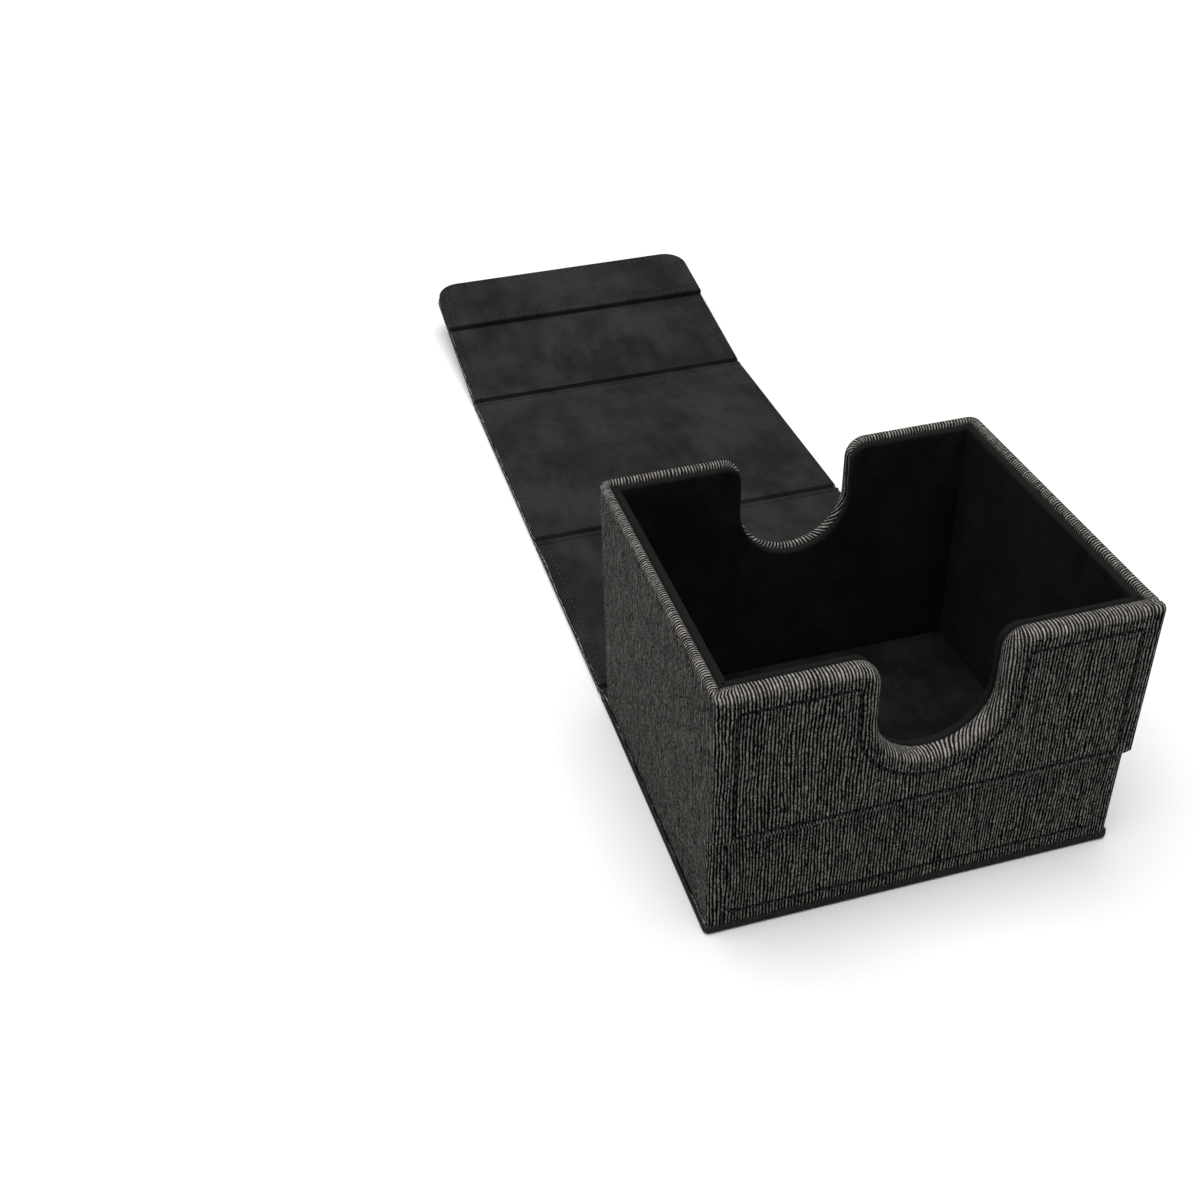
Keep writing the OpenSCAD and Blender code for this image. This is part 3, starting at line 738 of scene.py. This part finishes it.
def overlay_patch():
    """Front of the overlay with its rolled rim. Its ends turn round the sides of the board."""
    line = rim_line(half_w - overlay_side_r, rim_z, notch_r, rim_z - notch_depth, shoulder_r, 1.0)
    turns = []
    for angle in np.radians([15, 35, 55, 75, 90]):
        turns.append((overlay_side_r * math.sin(angle), overlay_side_r * (1 - math.cos(angle)),
                      overlay_side_r * angle))
    side_end = overlay_side_r * math.pi / 2
    turns.append((overlay_side_r, overlay_t * 0.8, side_end + overlay_t * 0.8 - overlay_side_r))
    turns.append((overlay_side_r, overlay_t + 0.5, side_end + overlay_t + 0.5 - overlay_side_r))
    start = half_w - overlay_side_r
    left = [(-start - t[2], rim_z, 0.0, 1.0) for t in reversed(turns)]
    right = [(start + t[2], rim_z, 0.0, 1.0) for t in turns]
    full = np.vstack([left, line, right])

    def place(x, z, outward):
        size = abs(x)
        sink = 0.0
        drop = 0.0
        if size > start:
            reach = [t[2] for t in turns]
            run = size - start
            wide = np.interp(run, [0.0] + reach, [0.0] + [t[0] for t in turns])
            sink = np.interp(run, [0.0] + reach, [0.0] + [t[1] for t in turns])
            size = start + wide
            drop = min(sink, 1.3) * 0.35
        deep = -outward
        if deep < overlay_soft:
            deep = deep + sink * (1 - deep / overlay_soft)
        if z < overlay_foot + 3:
            deep = min(deep, overlay_t + 0.3)
        beyond = size - overlay_pull_start
        if beyond > 0 and z > overlay_foot + 5:
            room = (half_w - wall_t + 0.1 - overlay_pull_start) / (half_w - overlay_pull_start)
            pulled = overlay_pull_start + beyond * room
            size = size + (pulled - size) * eased((-outward - 2.2) / 0.8)
        lift = min(1.0, max(0.0, (z - rim_z + 4) / 4))
        return (math.copysign(size, x), -overlay_front + deep, z - drop * lift)

    radii = []
    for x in full[:, 0]:
        share = min(1.0, max(0.0, (half_w - 1.0 - abs(x)) / 4))
        radii.append(1.2 + 0.7 * share)
    return dressed_wall(full, overlay_foot, place, overlay_depth, 1.9, 1.5, 4.2, foot_r=1.0, rows=30,
                        seam_of=overlay_seam, radii=radii, foot_rub=1.0, under_to=overlay_t - 0.05)


def overlay_return(side):
    """Leather turned in behind the overlay's side edge, on to the corner of the wall."""
    xs = half_w - np.array([0.0, 0.5, 1.0, 1.9])
    zs = spread(overlay_foot + 0.15, rim_z - 1.2, 3.0)
    at = [[(side * x, -half_d + 0.14, z) for z in zs] for x in xs]
    sheet = [[(side * (2 * half_w - x + overlay_t), z) for z in zs] for x in xs]
    return patch(at, sheet)


overlay_parts = [overlay_patch(), overlay_return(-1), overlay_return(1)]
overlay_leather = make_piece("overlay_leather", overlay_parts, leather)
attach(overlay_leather, "box")
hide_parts("overlay_wrap")

# ---- Liner ----


def liner_piece(name, line, place, node):
    # The liner's rim band carries the highlight mask, so its top is painted lighter.
    wall = dressed_wall(line, liner_floor_z - 1.0, place, liner_t, 0.9, 0.9, 5.0, foot_r=0.2, rows=14,
                        rim_wear_and_highlight=1.0, fade=0.5)
    made = make_piece(name, [wall], liner_suede)
    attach(made, "box")
    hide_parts(node)


room_w = liner_out_w - liner_t
room_d = liner_out_d - liner_t
liner_notch_r = notch_r + 0.5
liner_rim = rim_line(liner_out_w, liner_top, liner_notch_r, rim_z - notch_depth - 0.5, shoulder_r - 0.9)
liner_side_rim = plain_line(-liner_out_d, liner_out_d, liner_top)
liner_piece("liner_front", liner_rim, lambda x, z, o: (x, -room_d + o, z), "front_liner_suede")
liner_piece("liner_back", liner_rim, lambda x, z, o: (x, room_d - o, z), "back_liner_suede")
liner_piece("liner_left", liner_side_rim, lambda x, z, o: (-room_w + o, x, z), "left_liner_suede")
liner_piece("liner_right", liner_side_rim, lambda x, z, o: (room_w - o, x, z), "right_liner_suede")


def liner_floor():
    xs = spread(-room_w, room_w, 3.0)
    ys = spread(-room_d, room_d, 3.0)
    at = []
    for x in xs:
        row = []
        for y in ys:
            edge = min(room_w - abs(x), room_d - abs(y))
            row.append((x, y, liner_floor_z - 0.25 * max(0.0, 1 - edge / 3.0)))
        at.append(row)
    sheet = np.array(at)[:, :, :2]
    made = make_piece("liner_floor", [patch(at, sheet)], liner_suede)
    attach(made, "box")
    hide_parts("floor_liner_suede")


liner_floor()

# ---- Cover ----

edge_z = 2.4
turned = 3.2


def strip_section(bottom, top):
    """Leatherette section across the cover: turned edge, round edge, underside, and the same again.
    Gives x, z and the place on the flat sheet."""
    r = (top - bottom) / 2
    mid = (top + bottom) / 2
    left = [(-(cover_half - turned), top - 0.05)]
    left += arc((-(cover_half - r), mid), r, 90, 270, 10).tolist()
    flat = [(-x, bottom) for x in (50.4, 49.4, 46, 40, 30, 20, 10, 0)]
    half = np.array(left + flat)
    whole = np.vstack([half, half[-2::-1] * np.array([-1.0, 1.0])])
    run = walked(whole)
    return whole, run - run[-1] / 2


def cover_seam(sheet_x):
    return np.abs(sheet_x) - (cover_half - seam_inset)


def edge_wear(sheet_x):
    return np.clip(np.abs(sheet_x) - (cover_half - 1.8), 0, 1)


def leather_rows(ys, sections):
    """Leatherette strip: at each y a section from underside to edge top."""
    at, grain, seams, wear_and_highlight = [], [], [], []
    for y, (bottom, top) in zip(ys, sections):
        section, run = strip_section(bottom, top)
        at.append([(p[0], y, p[1]) for p in section])
        grain.append([(s, y) for s in run])
        seams.append(cover_seam(run))
        wear_and_highlight.append(edge_wear(run) * 0.15)
    return patch(at, grain, np.array(seams), np.array(wear_and_highlight))


def lining_section(top):
    side = cover_half - 0.75
    left = [(-side, top - 0.55)]
    left += arc((-(side - 0.4), top - 0.4), 0.4, 180, 90, 4).tolist()
    inner = cover_half - seam_inset
    for x, dip in ((inner + 1.1, 0.0), (inner + 0.45, 0.02), (inner, 0.08), (inner - 0.45, 0.02),
                   (inner - 1.3, 0.0), (46.0, 0.02), (40.0, 0.0), (30.0, 0.0), (20.0, 0.0), (10.0, 0.0),
                   (0.0, 0.0)):
        left.append((-x, top - dip))
    half = np.array(left)
    return np.vstack([half, half[-2::-1] * np.array([-1.0, 1.0])])


def lining_rows(ys, tops):
    at, grain, seams = [], [], []
    for y, top in zip(ys, tops):
        section = lining_section(top)
        at.append([(p[0], y, p[1]) for p in section])
        grain.append([(p[0], y) for p in section])
        seams.append(cover_seam(section[:, 0]))
    return patch(at, grain, np.array(seams))


def flat_panel(name, y0, y1, body, skin_node, lining_node):
    ys = spread(y0, y1, 4.0)
    made = make_piece(name + "_leather", [leather_rows(ys, [(0.0, edge_z)] * len(ys))], leather)
    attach(made, body)
    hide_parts(skin_node)
    made = make_piece(name + "_suede", [lining_rows(ys, [cover_t] * len(ys))], lining)
    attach(made, body)
    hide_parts(lining_node)


flat_panel("back_panel", back_fold + fold_half, top_fold - fold_half, "back_panel", "back_skin",
           "back_lining")
flat_panel("top_panel", top_fold + fold_half, front_fold - fold_half, "top_panel", "top_skin",
           "top_lining")

# Folds: the skin humps up between the boards, so that a closed corner comes out round
hump = 1.15


def fold_shape(t):
    """Underside, edge top and lining top at distance t from the fold line."""
    share = min(1.0, abs(t) / fold_half)
    under = hump * (1 - share * share) ** 2
    if abs(t) >= fold_half:
        return under, edge_z, cover_t
    groove = 0.74
    wall = eased((share - groove) / (1 - groove))
    middle = under + 0.62 + 0.48 * eased(1 - share / groove)
    floor = under + 0.62
    lining_top = (middle if share < groove else floor) + (cover_t - floor) * wall
    leather_top = lining_top - 0.12 - 0.08 * wall
    return under, leather_top, lining_top


def bent(points, fold_y, angle):
    t = np.clip((points[:, :, 1] - (fold_y - fold_half)) / (2 * fold_half), 0, 1)
    w = t * t * (3 - 2 * t) * angle
    y = points[:, :, 1] - fold_y
    z = points[:, :, 2]
    turned_points = points.copy()
    turned_points[:, :, 1] = fold_y + y * np.cos(w) - z * np.sin(w)
    turned_points[:, :, 2] = y * np.sin(w) + z * np.cos(w)
    return turned_points


def fold_piece(name, fold_y, skin_node, lining_node, angle=0.0, lead=0.0):
    ts = np.concatenate([np.linspace(-1, -0.72, 9)[:-1], np.linspace(-0.72, 0.72, 19),
                         np.linspace(0.72, 1, 9)[1:]]) * fold_half
    first_row = 0
    if lead > 0:
        # The lining alone runs on a little way under the wall's foot
        ts = np.concatenate([[-fold_half - lead], ts])
        first_row = 1
    shapes = [fold_shape(t) for t in ts]
    ys = fold_y + ts
    sections = [(under, edge) for under, edge, _ in shapes[first_row:]]
    at, grain, seam, pressed = leather_rows(ys[first_row:], sections)
    made = make_piece(name + "_leather", [(bent(at, fold_y, angle), grain, seam, pressed)], leather,
                      sharp=75)
    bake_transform(made)
    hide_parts(skin_node)
    tops = [s[2] for s in shapes]
    if lead > 0:
        tops[:2] = [cover_t + 0.06] * 2
    at, grain, seam, pressed = lining_rows(ys, tops)
    made = make_piece(name + "_suede", [(bent(at, fold_y, angle), grain, seam, pressed)], lining,
                      sharp=75)
    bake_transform(made)
    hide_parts(lining_node)


fold_piece("back_fold", back_fold, "back_fold_skin", "back_fold_lining", lead=1.8)
fold_piece("top_fold", top_fold, "top_fold_skin", "top_fold_lining")
fold_piece("front_fold", front_fold, "front_fold_skin", "front_fold_lining",
           angle=flap_spring)

# ---- Panels with a free end: the flap and its pad, and the base under the box ----


def tongue_ring(inset, along, tip, radius, across):
    """Outline of a tongue at an inset: up the left side, round the tip, and back down the right."""
    left = [(-(cover_half - inset), u) for u in along]
    for angle in np.radians(np.linspace(0, 90, 10)[1:]):
        r = max(radius - inset, 0.05)
        pulled = max(inset - radius, 0.0)
        cx = cover_half - radius - pulled
        left.append((-(cx + r * math.cos(angle)), tip - radius - pulled + r * math.sin(angle)))
    end = left[-1]
    bar = [(end[0] * -f, end[1]) for f in across[1:-1]]
    right = [(-x, u) for x, u in reversed(left)]
    return np.array(left + bar + right), len(left)


def tongue(section, along, tip, radius, across):
    """Edge band and inner sheet of a tongue. section is inset and height from the sheet's far side to
    the edge and round to the near side; the inner sheet fills inside the last inset."""
    run = walked(section)
    at, grain = [], []
    for (inset, z), gone in zip(section, run):
        ring, corner = tongue_ring(inset, along, tip, radius, across)
        at.append([(p[0], p[1], z) for p in ring])
        flat_inset = section[-1][0] - (run[-1] - gone)
        grain.append(tongue_ring(max(flat_inset, -6.0), along, tip, radius, across)[0])
    count = len(ring)
    inside = []
    for i in range(corner):
        a, b = ring[i], ring[count - 1 - i]
        inside.append([a + (b - a) * (f + 1) / 2 for f in across])
    inside = np.array(inside)
    z = np.full(inside.shape[:2], float(section[-1][1]))
    inner_at = np.dstack([inside, z])
    return np.array(at), np.array(grain), inner_at, inside


def flap_place(points):
    """Puts points drawn along the flap from its fold where the open flap lies."""
    c, s = math.cos(flap_spring), math.sin(flap_spring)
    placed = points.copy()
    placed[..., 1] = front_fold + points[..., 1] * c - points[..., 2] * s
    placed[..., 2] = points[..., 1] * s + points[..., 2] * c
    return placed


def tongue_seam(sheet, tip, radius):
    """Signed distance to a seam that runs seam_inset inside the edge of a tongue."""
    x, u = np.abs(sheet[..., 0]), sheet[..., 1]
    side = x - (cover_half - seam_inset)
    end = u - (tip - seam_inset)
    return round_meet(side, end, max(radius - seam_inset, 0.2))


mark_x = 31
mark_u = (top_fold - back_fold) - 25
mark_tilt = 14
mark_shift = 2.5
mark_line = 0.7
card_half_w = 7.5
card_half_l = 10.5
card_r = 2.5


def card_line(x, u, shift, tilt):
    """Signed distance to the pressed line round one card."""
    c, s = math.cos(math.radians(tilt)), math.sin(math.radians(tilt))
    dx, du = x - mark_x - shift, u - mark_u
    px, pu = dx * c + du * s, -dx * s + du * c
    qx, qu = np.abs(px) - card_half_w + card_r, np.abs(pu) - card_half_l + card_r
    outside = np.hypot(np.maximum(qx, 0), np.maximum(qu, 0)) + np.minimum(np.maximum(qx, qu), 0) - card_r
    return np.abs(outside + mark_line) - mark_line


def mark_distance(sheet):
    """Two overlapping cards."""
    x, u = sheet[..., 0], sheet[..., 1]
    return np.minimum(card_line(x, u, -mark_shift, -mark_tilt), card_line(x, u, mark_shift, mark_tilt))


def flap_leather():
    """Flap with its mark pressed in, on a finer grid where the mark lies."""
    r = edge_z / 2
    section = np.vstack([[[turned, edge_z - 0.05]], arc((r, r), r, 90, 270, 10), [[turned, 0.0]]])
    dense = np.arange(38, flap_l - flap_r - 0.05, 0.3)
    along = np.concatenate([spread(fold_half, 38, 3.0)[:-1], dense, [flap_l - flap_r]])
    fine = np.arange(16, 46.5, 0.3) / (cover_half - turned)
    across = np.concatenate([np.linspace(-1, 0.3, 14)[:-1], fine[fine > 0.3], [0.95, 1.0]])
    at, grain, inner_at, inner = tongue(section, along, flap_l, flap_r, across)
    off = mark_distance(inner)
    sunk = np.clip((0.15 - off) / 0.3, 0, 1)
    inner_at[..., 2] += 0.28 * sunk * sunk * (3 - 2 * sunk)
    wear_and_highlight = np.clip(1.8 - section[:, :1], 0, 1) * 0.15
    band = patch(flap_place(at), grain, tongue_seam(grain, flap_l, flap_r),
                 np.broadcast_to(wear_and_highlight, at.shape[:2]))
    sheet = patch(flap_place(inner_at), inner, tongue_seam(inner, flap_l, flap_r),
                  pressed=off)
    made = make_piece("flap_leather", [band, sheet], leather)
    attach(made, "flap")
    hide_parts("flap_skin")


flap_leather()


def top_section(side_inset, top, r, drop):
    """Edge of a sheet laid on top: up from drop below, round by r, then in to the flat."""
    turn = arc((side_inset + r, top - r), r, 180, 90, 5)
    return np.vstack([[[side_inset, top - drop]], turn, [[seam_inset, top]]])


def flap_lining():
    along = spread(fold_half - 0.2, flap_l - flap_r, 3.0)
    across = np.linspace(-1, 1, 21)
    section = top_section(0.75, cover_t, 0.4, 0.5)
    at, grain, inner_at, inner = tongue(section, along, flap_l, flap_r, across)
    band = patch(flap_place(at), grain, tongue_seam(grain, 500.0, flap_r))
    sheet = patch(flap_place(inner_at), inner, tongue_seam(inner, 500.0, flap_r))
    made = make_piece("flap_suede", [band, sheet], lining)
    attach(made, "flap")
    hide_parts("flap_lining")


flap_lining()


def pad():
    edge = 0.55
    steps = np.array([0, 0.05, 0.14, 0.28, 0.42, 0.55, 1.2, 1.8, 2.2, 2.6, 3.4])
    along = np.concatenate([pad_start + steps, spread(pad_start + 5, flap_l - flap_r, 2.5)])
    across = np.linspace(-1, 1, 31)
    section = [(0.6, cover_t - 0.5)]
    section += [(0.6 + edge - edge * math.cos(a), pad_top - edge + edge * math.sin(a)) for a in np.radians(
        np.linspace(0, 90, 6))]
    section = np.array(section + [(2.4, pad_top), (2.9, pad_top - 0.06), (seam_inset, pad_top - 0.18),
                                  (3.9, pad_top - 0.06), (4.6, pad_top)])
    at, grain, inner_at, inner = tongue(section, along, flap_l, flap_r, across)
    for block in (at, inner_at):
        off = np.clip(block[..., 1] - pad_start, 0, None)
        fall = edge - np.sqrt(np.clip(edge ** 2 - (edge - np.minimum(off, edge)) ** 2, 0, None))
        seam_dip = 0.16 * np.clip(1 - np.abs(off - 2.2) / 0.5, 0, 1)
        block[..., 2] = np.where(block[..., 2] > cover_t, np.maximum(
            np.minimum(block[..., 2], pad_top - fall - seam_dip), cover_t - 0.05), block[..., 2])
    first = np.vstack([at[:, 0], inner_at[0][1:-1], at[::-1, -1]])
    skirt_low = first.copy()
    skirt_low[:, 2] = np.minimum(first[:, 2], cover_t - 0.05)
    skirt = np.stack([first, skirt_low])
    skirt_sheet = np.stack([first[:, :2], first[:, :2] - np.array([0, 2.5])])

    def seam_of(points):
        around = tongue_seam(points, flap_l, flap_r)
        start = pad_start + 2.2 - points[..., 1]
        return np.maximum(around, start)

    parts = [patch(flap_place(at), grain, seam_of(grain)),
             patch(flap_place(inner_at), inner, seam_of(inner)),
             patch(flap_place(skirt), skirt_sheet)]
    made = make_piece("pad_suede", parts, lining, sharp=65)
    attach(made, "flap")
    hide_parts("pad_lining")


pad()


def base_section():
    """Base edge: turned in over the board, squarer above than below."""
    top = cover_t + 0.06
    upper = arc((0.5, top - 0.5), 0.5, 90, 180, 6)
    lower = arc((1.1, 1.1), 1.1, 180, 270, 7)
    return np.vstack([[[2.2, top]], upper, lower, [[turned, 0.0]]])


def base_leather():
    """Base panel: the free end is the front edge."""
    tip = half_d
    start = -(back_fold - fold_half)
    along = spread(start, tip - 1.5, 4.0)
    across = np.linspace(-1, 1, 25)
    section = base_section()
    at, grain, inner_at, inner = tongue(section, along, tip, 1.5, across)
    for block in (at, inner_at):
        block[..., 1] *= -1
    # The edge gets the pressed look, smooth and painted dark as shade near the floor; its back end is
    # closed off where the fold begins
    smooth = np.broadcast_to(np.where(section[:, 0] < 1.2, -0.04, far_away)[:, None], at.shape[:2])
    flip = np.array([1.0, -1.0])
    band = patch(at, grain * flip, tongue_seam(grain, tip, 1.5), pressed=smooth)
    caps = []
    for end, sheet in ((at[:, 0], grain[:, 0]), (at[:, -1], grain[:, -1])):
        core = np.array([math.copysign(cover_half - 1.3, end[0, 0]), end[0, 1], 1.3])
        caps.append(patch([end, core + 0.4 * (end - core)], [sheet * flip, (sheet + [0, 0.8]) * flip]))
    sheet = patch(inner_at, inner * flip, tongue_seam(inner, tip, 1.5))
    made = make_piece("base_leather", [band, sheet] + caps, leather)
    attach(made, "box")
    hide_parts("base_skin")


base_leather()

# ---- Stitches ----

stitch_pitch = 2.6
stitch_l = 2.0
stitch_w = 0.42
stitch_rise = 0.2
stitch_bury = 0.1


def stitch_run(path, up):
    """Rows of small rounded stitches along a line of points. up gives the way out of the sheet."""
    path = np.asarray(path, float)
    run = walked(path)
    count = max(1, int(run[-1] / stitch_pitch))
    pitch = run[-1] / count
    made = []
    for i in range(count):
        first = (i + 0.5) * pitch - stitch_l / 2
        stations = first + stitch_l * np.array([0.0, 0.08, 0.25, 0.5, 0.75, 0.92, 1.0])
        sizes = np.array([0.15, 0.7, 0.95, 1.0, 0.95, 0.7, 0.15])
        dips = np.array([-0.22, -0.06, 0.0, 0.02, 0.0, -0.06, -0.22])
        spots = np.column_stack([np.interp(stations, run, path[:, k]) for k in range(3)])
        way = spots[-1] - spots[0]
        way = way / np.linalg.norm(way)
        out = up(spots[3])
        side = np.cross(way, out)
        rings, marks = [], []
        for spot, size, dip, s in zip(spots, sizes, dips, stations):
            lean = side * 0.1 * (s - stations[3]) / stitch_l
            centre = spot + out * (dip - stitch_bury) + lean
            angles = np.radians(np.linspace(0, 360, 9))
            wide, high = side * stitch_w / 2 * size, out * stitch_rise * size
            rings.append([centre + wide * math.cos(a) + high * math.sin(a) for a in angles])
            marks.append([(a, s) for a in angles])
        made.append(patch(rings, marks))
    return made


def sew(name, runs, thread, body, node):
    """One piece of stitches from its runs, each a line of points and the way out of the sheet."""
    patches = []
    for path, up in runs:
        patches += stitch_run(path, up)
    made = make_piece(name, patches, thread, weld=0.002, sharp=80)
    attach(made, body)
    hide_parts(node)


def always(x, y, z):
    way = np.array([x, y, z], float)
    return lambda spot: way


def overlay_stitch_line():
    """The overlay's closed seam line, clockwise from its lower left corner."""
    r = overlay_seam_r
    side, low, high, notch = overlay_seam_side, overlay_seam_low, overlay_seam_top, overlay_notch_seam
    right = arc((0, notch_z), notch, 270, 360, 16).tolist()
    right += arc((notch + r, high - r), r, 180, 90, 5).tolist()
    right += arc((side - 0.5, high - 0.5), 0.5, 90, 0, 3).tolist()
    right += arc((side - 0.5, low + 0.5), 0.5, 0, -90, 3).tolist()
    right = np.array(right)
    line = np.vstack([right, right[::-1] * np.array([-1.0, 1.0]), right[:1]])
    return [(x, -overlay_front, z) for x, z in line]


sew("overlay_stitches", [(overlay_stitch_line(), always(0, -1, 0))], black_thread, "box",
    "overlay_thread")
lower_line = [(-lower_seam_half, -half_d, overlay_foot - 0.3), (-lower_seam_half, -half_d, lower_seam_foot),
              (lower_seam_half, -half_d, lower_seam_foot), (lower_seam_half, -half_d, overlay_foot - 0.3)]
sew("lower_front_stitches", [(lower_line[k:k + 2], always(0, -1, 0)) for k in range(3)],
    black_thread, "box", "lower_front_thread")


def panel_stitches(name, y0, y1, body, node):
    runs = []
    x = cover_half - seam_inset
    for side in (-1, 1):
        runs.append(([(side * x, y0, cover_t - 0.12), (side * x, y1, cover_t - 0.12)], always(0, 0, 1)))
        runs.append(([(side * x, y0, 0.12), (side * x, y1, 0.12)], always(0, 0, -1)))
    sew(name, runs, lining_thread, body, node)


panel_stitches("back_stitches", back_fold + fold_half, top_fold - fold_half, "back_panel", "back_thread")
panel_stitches("top_stitches", top_fold + fold_half, front_fold - fold_half, "top_panel", "top_thread")


def flap_stitches():
    x = cover_half - seam_inset
    tip = flap_l - seam_inset
    r = flap_r - seam_inset
    c, s = math.cos(flap_spring), math.sin(flap_spring)
    up, down = always(0, -s, c), always(0, s, -c)

    def lay(points, z):
        return flap_place(np.array([(p[0], p[1], z) for p in points]))

    def around_tip(first):
        line = [(-x, first), (-x, tip - r)]
        line += arc((-x + r, tip - r), r, 180, 90, 8).tolist()
        line += arc((x - r, tip - r), r, 90, 0, 8).tolist()
        line += [(x, first)]
        return line

    runs = [(lay(around_tip(fold_half), 0.12), down)]
    for side in (-1, 1):
        runs.append((lay([(side * x, fold_half), (side * x, pad_start - 0.3)], cover_t - 0.12), up))
    runs.append((lay(around_tip(pad_start + 2.2), pad_top - 0.12), up))
    runs.append((lay([(-x, pad_start + 2.2), (x, pad_start + 2.2)], pad_top - 0.12), up))
    sew("flap_stitches", runs, lining_thread, "flap", "flap_thread")


flap_stitches()

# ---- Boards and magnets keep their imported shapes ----

for node, shape in frame["nodes"].items():
    if shape.hide_render:
        continue
    shape.data.materials.clear()
    shape.data.materials.append(plate if "magnet" in node else board)

# ---- Floor, light and camera ----


def pale_floor():
    """Pale to the camera, darker to the light that bounces off it on to the box."""
    bpy.ops.mesh.primitive_plane_add(size=60, location=(0, 0, -0.0001))
    floor = bpy.context.object
    floor.name = "floor"
    material, tree, shader = new_material("Pale floor", Specular_IOR_Level=0.1)
    seen = wire(tree, "ShaderNodeLightPath").outputs["Is Camera Ray"]
    colour = tint(tree, seen, grey(0.42), grey(0.9))
    tree.links.new(colour, shader.inputs["Base Color"])
    shader.inputs["Roughness"].default_value = 0.9
    floor.data.materials.append(material)


def soft_light(name, place, aim, size, power):
    data = bpy.data.lights.new(name, "AREA")
    data.shape = "DISK"
    data.size = size
    data.energy = power
    light = bpy.data.objects.new(name, data)
    bpy.context.scene.collection.objects.link(light)
    light.location = place
    light.rotation_euler = (Vector(aim) - Vector(place)).to_track_quat("-Z", "Y").to_euler()


def studio():
    sun = bpy.data.lights.new("overhead", "SUN")
    sun.energy = 3.3
    sun.angle = math.radians(60)
    overhead = bpy.data.objects.new("overhead", sun)
    bpy.context.scene.collection.objects.link(overhead)
    overhead.rotation_euler = Vector((0.12, 0.06, -1.0)).to_track_quat("-Z", "Y").to_euler()
    soft_light("left_fill", (-1.1, -0.5, 0.5), (0, 0, 0.03), 0.8, 0.7)
    soft_light("front_fill", (0.2, -1.2, 0.6), (0, 0, 0.03), 0.8, 1.2)
    world = bpy.data.worlds.new("Studio")
    bpy.context.scene.world = world
    world.use_nodes = True
    background = world.node_tree.nodes["Background"]
    background.inputs["Color"].default_value = grey(1.0)
    seen = wire(world.node_tree, "ShaderNodeLightPath").outputs["Is Camera Ray"]
    strength = ramp(world.node_tree, seen, 0.0, 1.0, 0.16, 1.0)
    world.node_tree.links.new(strength, background.inputs["Strength"])


def three_quarter_camera():
    azimuth, elevation, roll = math.radians(-14.37), math.radians(36.69), math.radians(-2.21)
    back = Vector((math.sin(azimuth) * math.cos(elevation), -math.cos(azimuth) * math.cos(elevation),
                   math.sin(elevation)))
    right = (-back).cross(Vector((0, 0, 1))).normalized()
    up = right.cross(-back)
    turned_right = right * math.cos(roll) + up * math.sin(roll)
    turned_up = up * math.cos(roll) - right * math.sin(roll)
    data = bpy.data.cameras.new("view")
    data.sensor_width = 36
    data.lens = 43.59
    data.clip_start = 0.01
    data.clip_end = 50
    camera = bpy.data.objects.new("view", data)
    bpy.context.scene.collection.objects.link(camera)
    turn = Matrix((turned_right, turned_up, back)).transposed()
    camera.matrix_world = Matrix.Translation((-0.13297, -0.2636, 0.27474)) @ turn.to_4x4()
    bpy.context.scene.camera = camera


pale_floor()
studio()
three_quarter_camera()
bpy.context.scene.view_settings.view_transform = "Standard"
